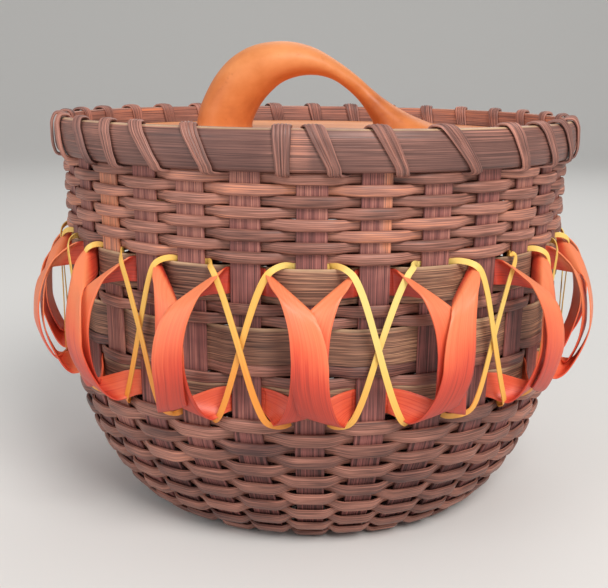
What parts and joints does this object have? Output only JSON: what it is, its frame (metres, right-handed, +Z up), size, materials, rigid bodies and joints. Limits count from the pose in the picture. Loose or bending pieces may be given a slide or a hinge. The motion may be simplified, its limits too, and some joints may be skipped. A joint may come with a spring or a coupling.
{
  "type": "round woven splint basket with gourd lid",
  "caption": "Round-bellied plain-woven splint basket with curled ribbons and crossing laces round its belly, a lashed rim and a lift-off gourd lid with a curved neck grip.",
  "frame": {"origin": "Centre of the foot, on the surface the basket stands on", "axes": "+Z up along the basket's axis, +X to the right of the pictured front, the front looks along -Y"},
  "size_m": [0.2448, 0.2448, 0.1937],
  "materials": {
    "purple_stake": "dyed flat reed, matt",
    "purple_reed": "dyed half-round reed, matt",
    "brown_splint": "dyed flat splint, matt, pale cut edges",
    "rim_splint": "dyed rim reed, matt, pale cut edge",
    "lashing_reed": "dyed grooved reed, matt",
    "orange_ribbon": "dyed flat reed, peach to red, satin",
    "yellow_lace": "dyed narrow reed, satin",
    "orange_gourd": "dyed gourd shell, soft gloss"
  },
  "bodies": {
    "basket": {"stake_strip_01": "purple_stake", "stake_strip_02": "purple_stake", "stake_strip_03": "purple_stake", "stake_strip_04": "purple_stake", "stake_strip_05": "purple_stake", "stake_strip_06": "purple_stake", "stake_strip_07": "purple_stake", "stake_strip_08": "purple_stake", "stake_strip_09": "purple_stake", "stake_strip_10": "purple_stake", "stake_strip_11": "purple_stake", "stake_strip_12": "purple_stake", "stake_strip_13": "purple_stake", "stake_strip_14": "purple_stake", "stake_strip_15": "purple_stake", "stake_strip_16": "purple_stake", "neck_weaver_a": "purple_reed", "neck_weaver_b": "purple_reed", "foot_weaver_a": "purple_reed", "foot_weaver_b": "purple_reed", "foot_weaver_c": "purple_reed", "foot_weaver_d": "purple_reed", "belly_reed_1": "purple_reed", "belly_reed_2": "purple_reed", "belly_reed_3": "purple_reed", "belly_reed_4": "purple_reed", "wide_splint_upper": "brown_splint", "wide_splint_middle": "brown_splint", "wide_splint_lower": "brown_splint", "rim_outer": "rim_splint", "rim_inner": "rim_splint", "rim_lashing": "lashing_reed", "ribbon_a": "orange_ribbon", "ribbon_b": "orange_ribbon", "lace_a": "yellow_lace", "lace_b": "yellow_lace"},
    "lid": {"gourd_lid": "orange_gourd"}
  },
  "joints": [
    {"name": "lid_lift", "type": "slide", "parent": "basket", "child": "lid", "axis": [0, 0, 1], "range_m": [0, 0.2]}
  ]
}
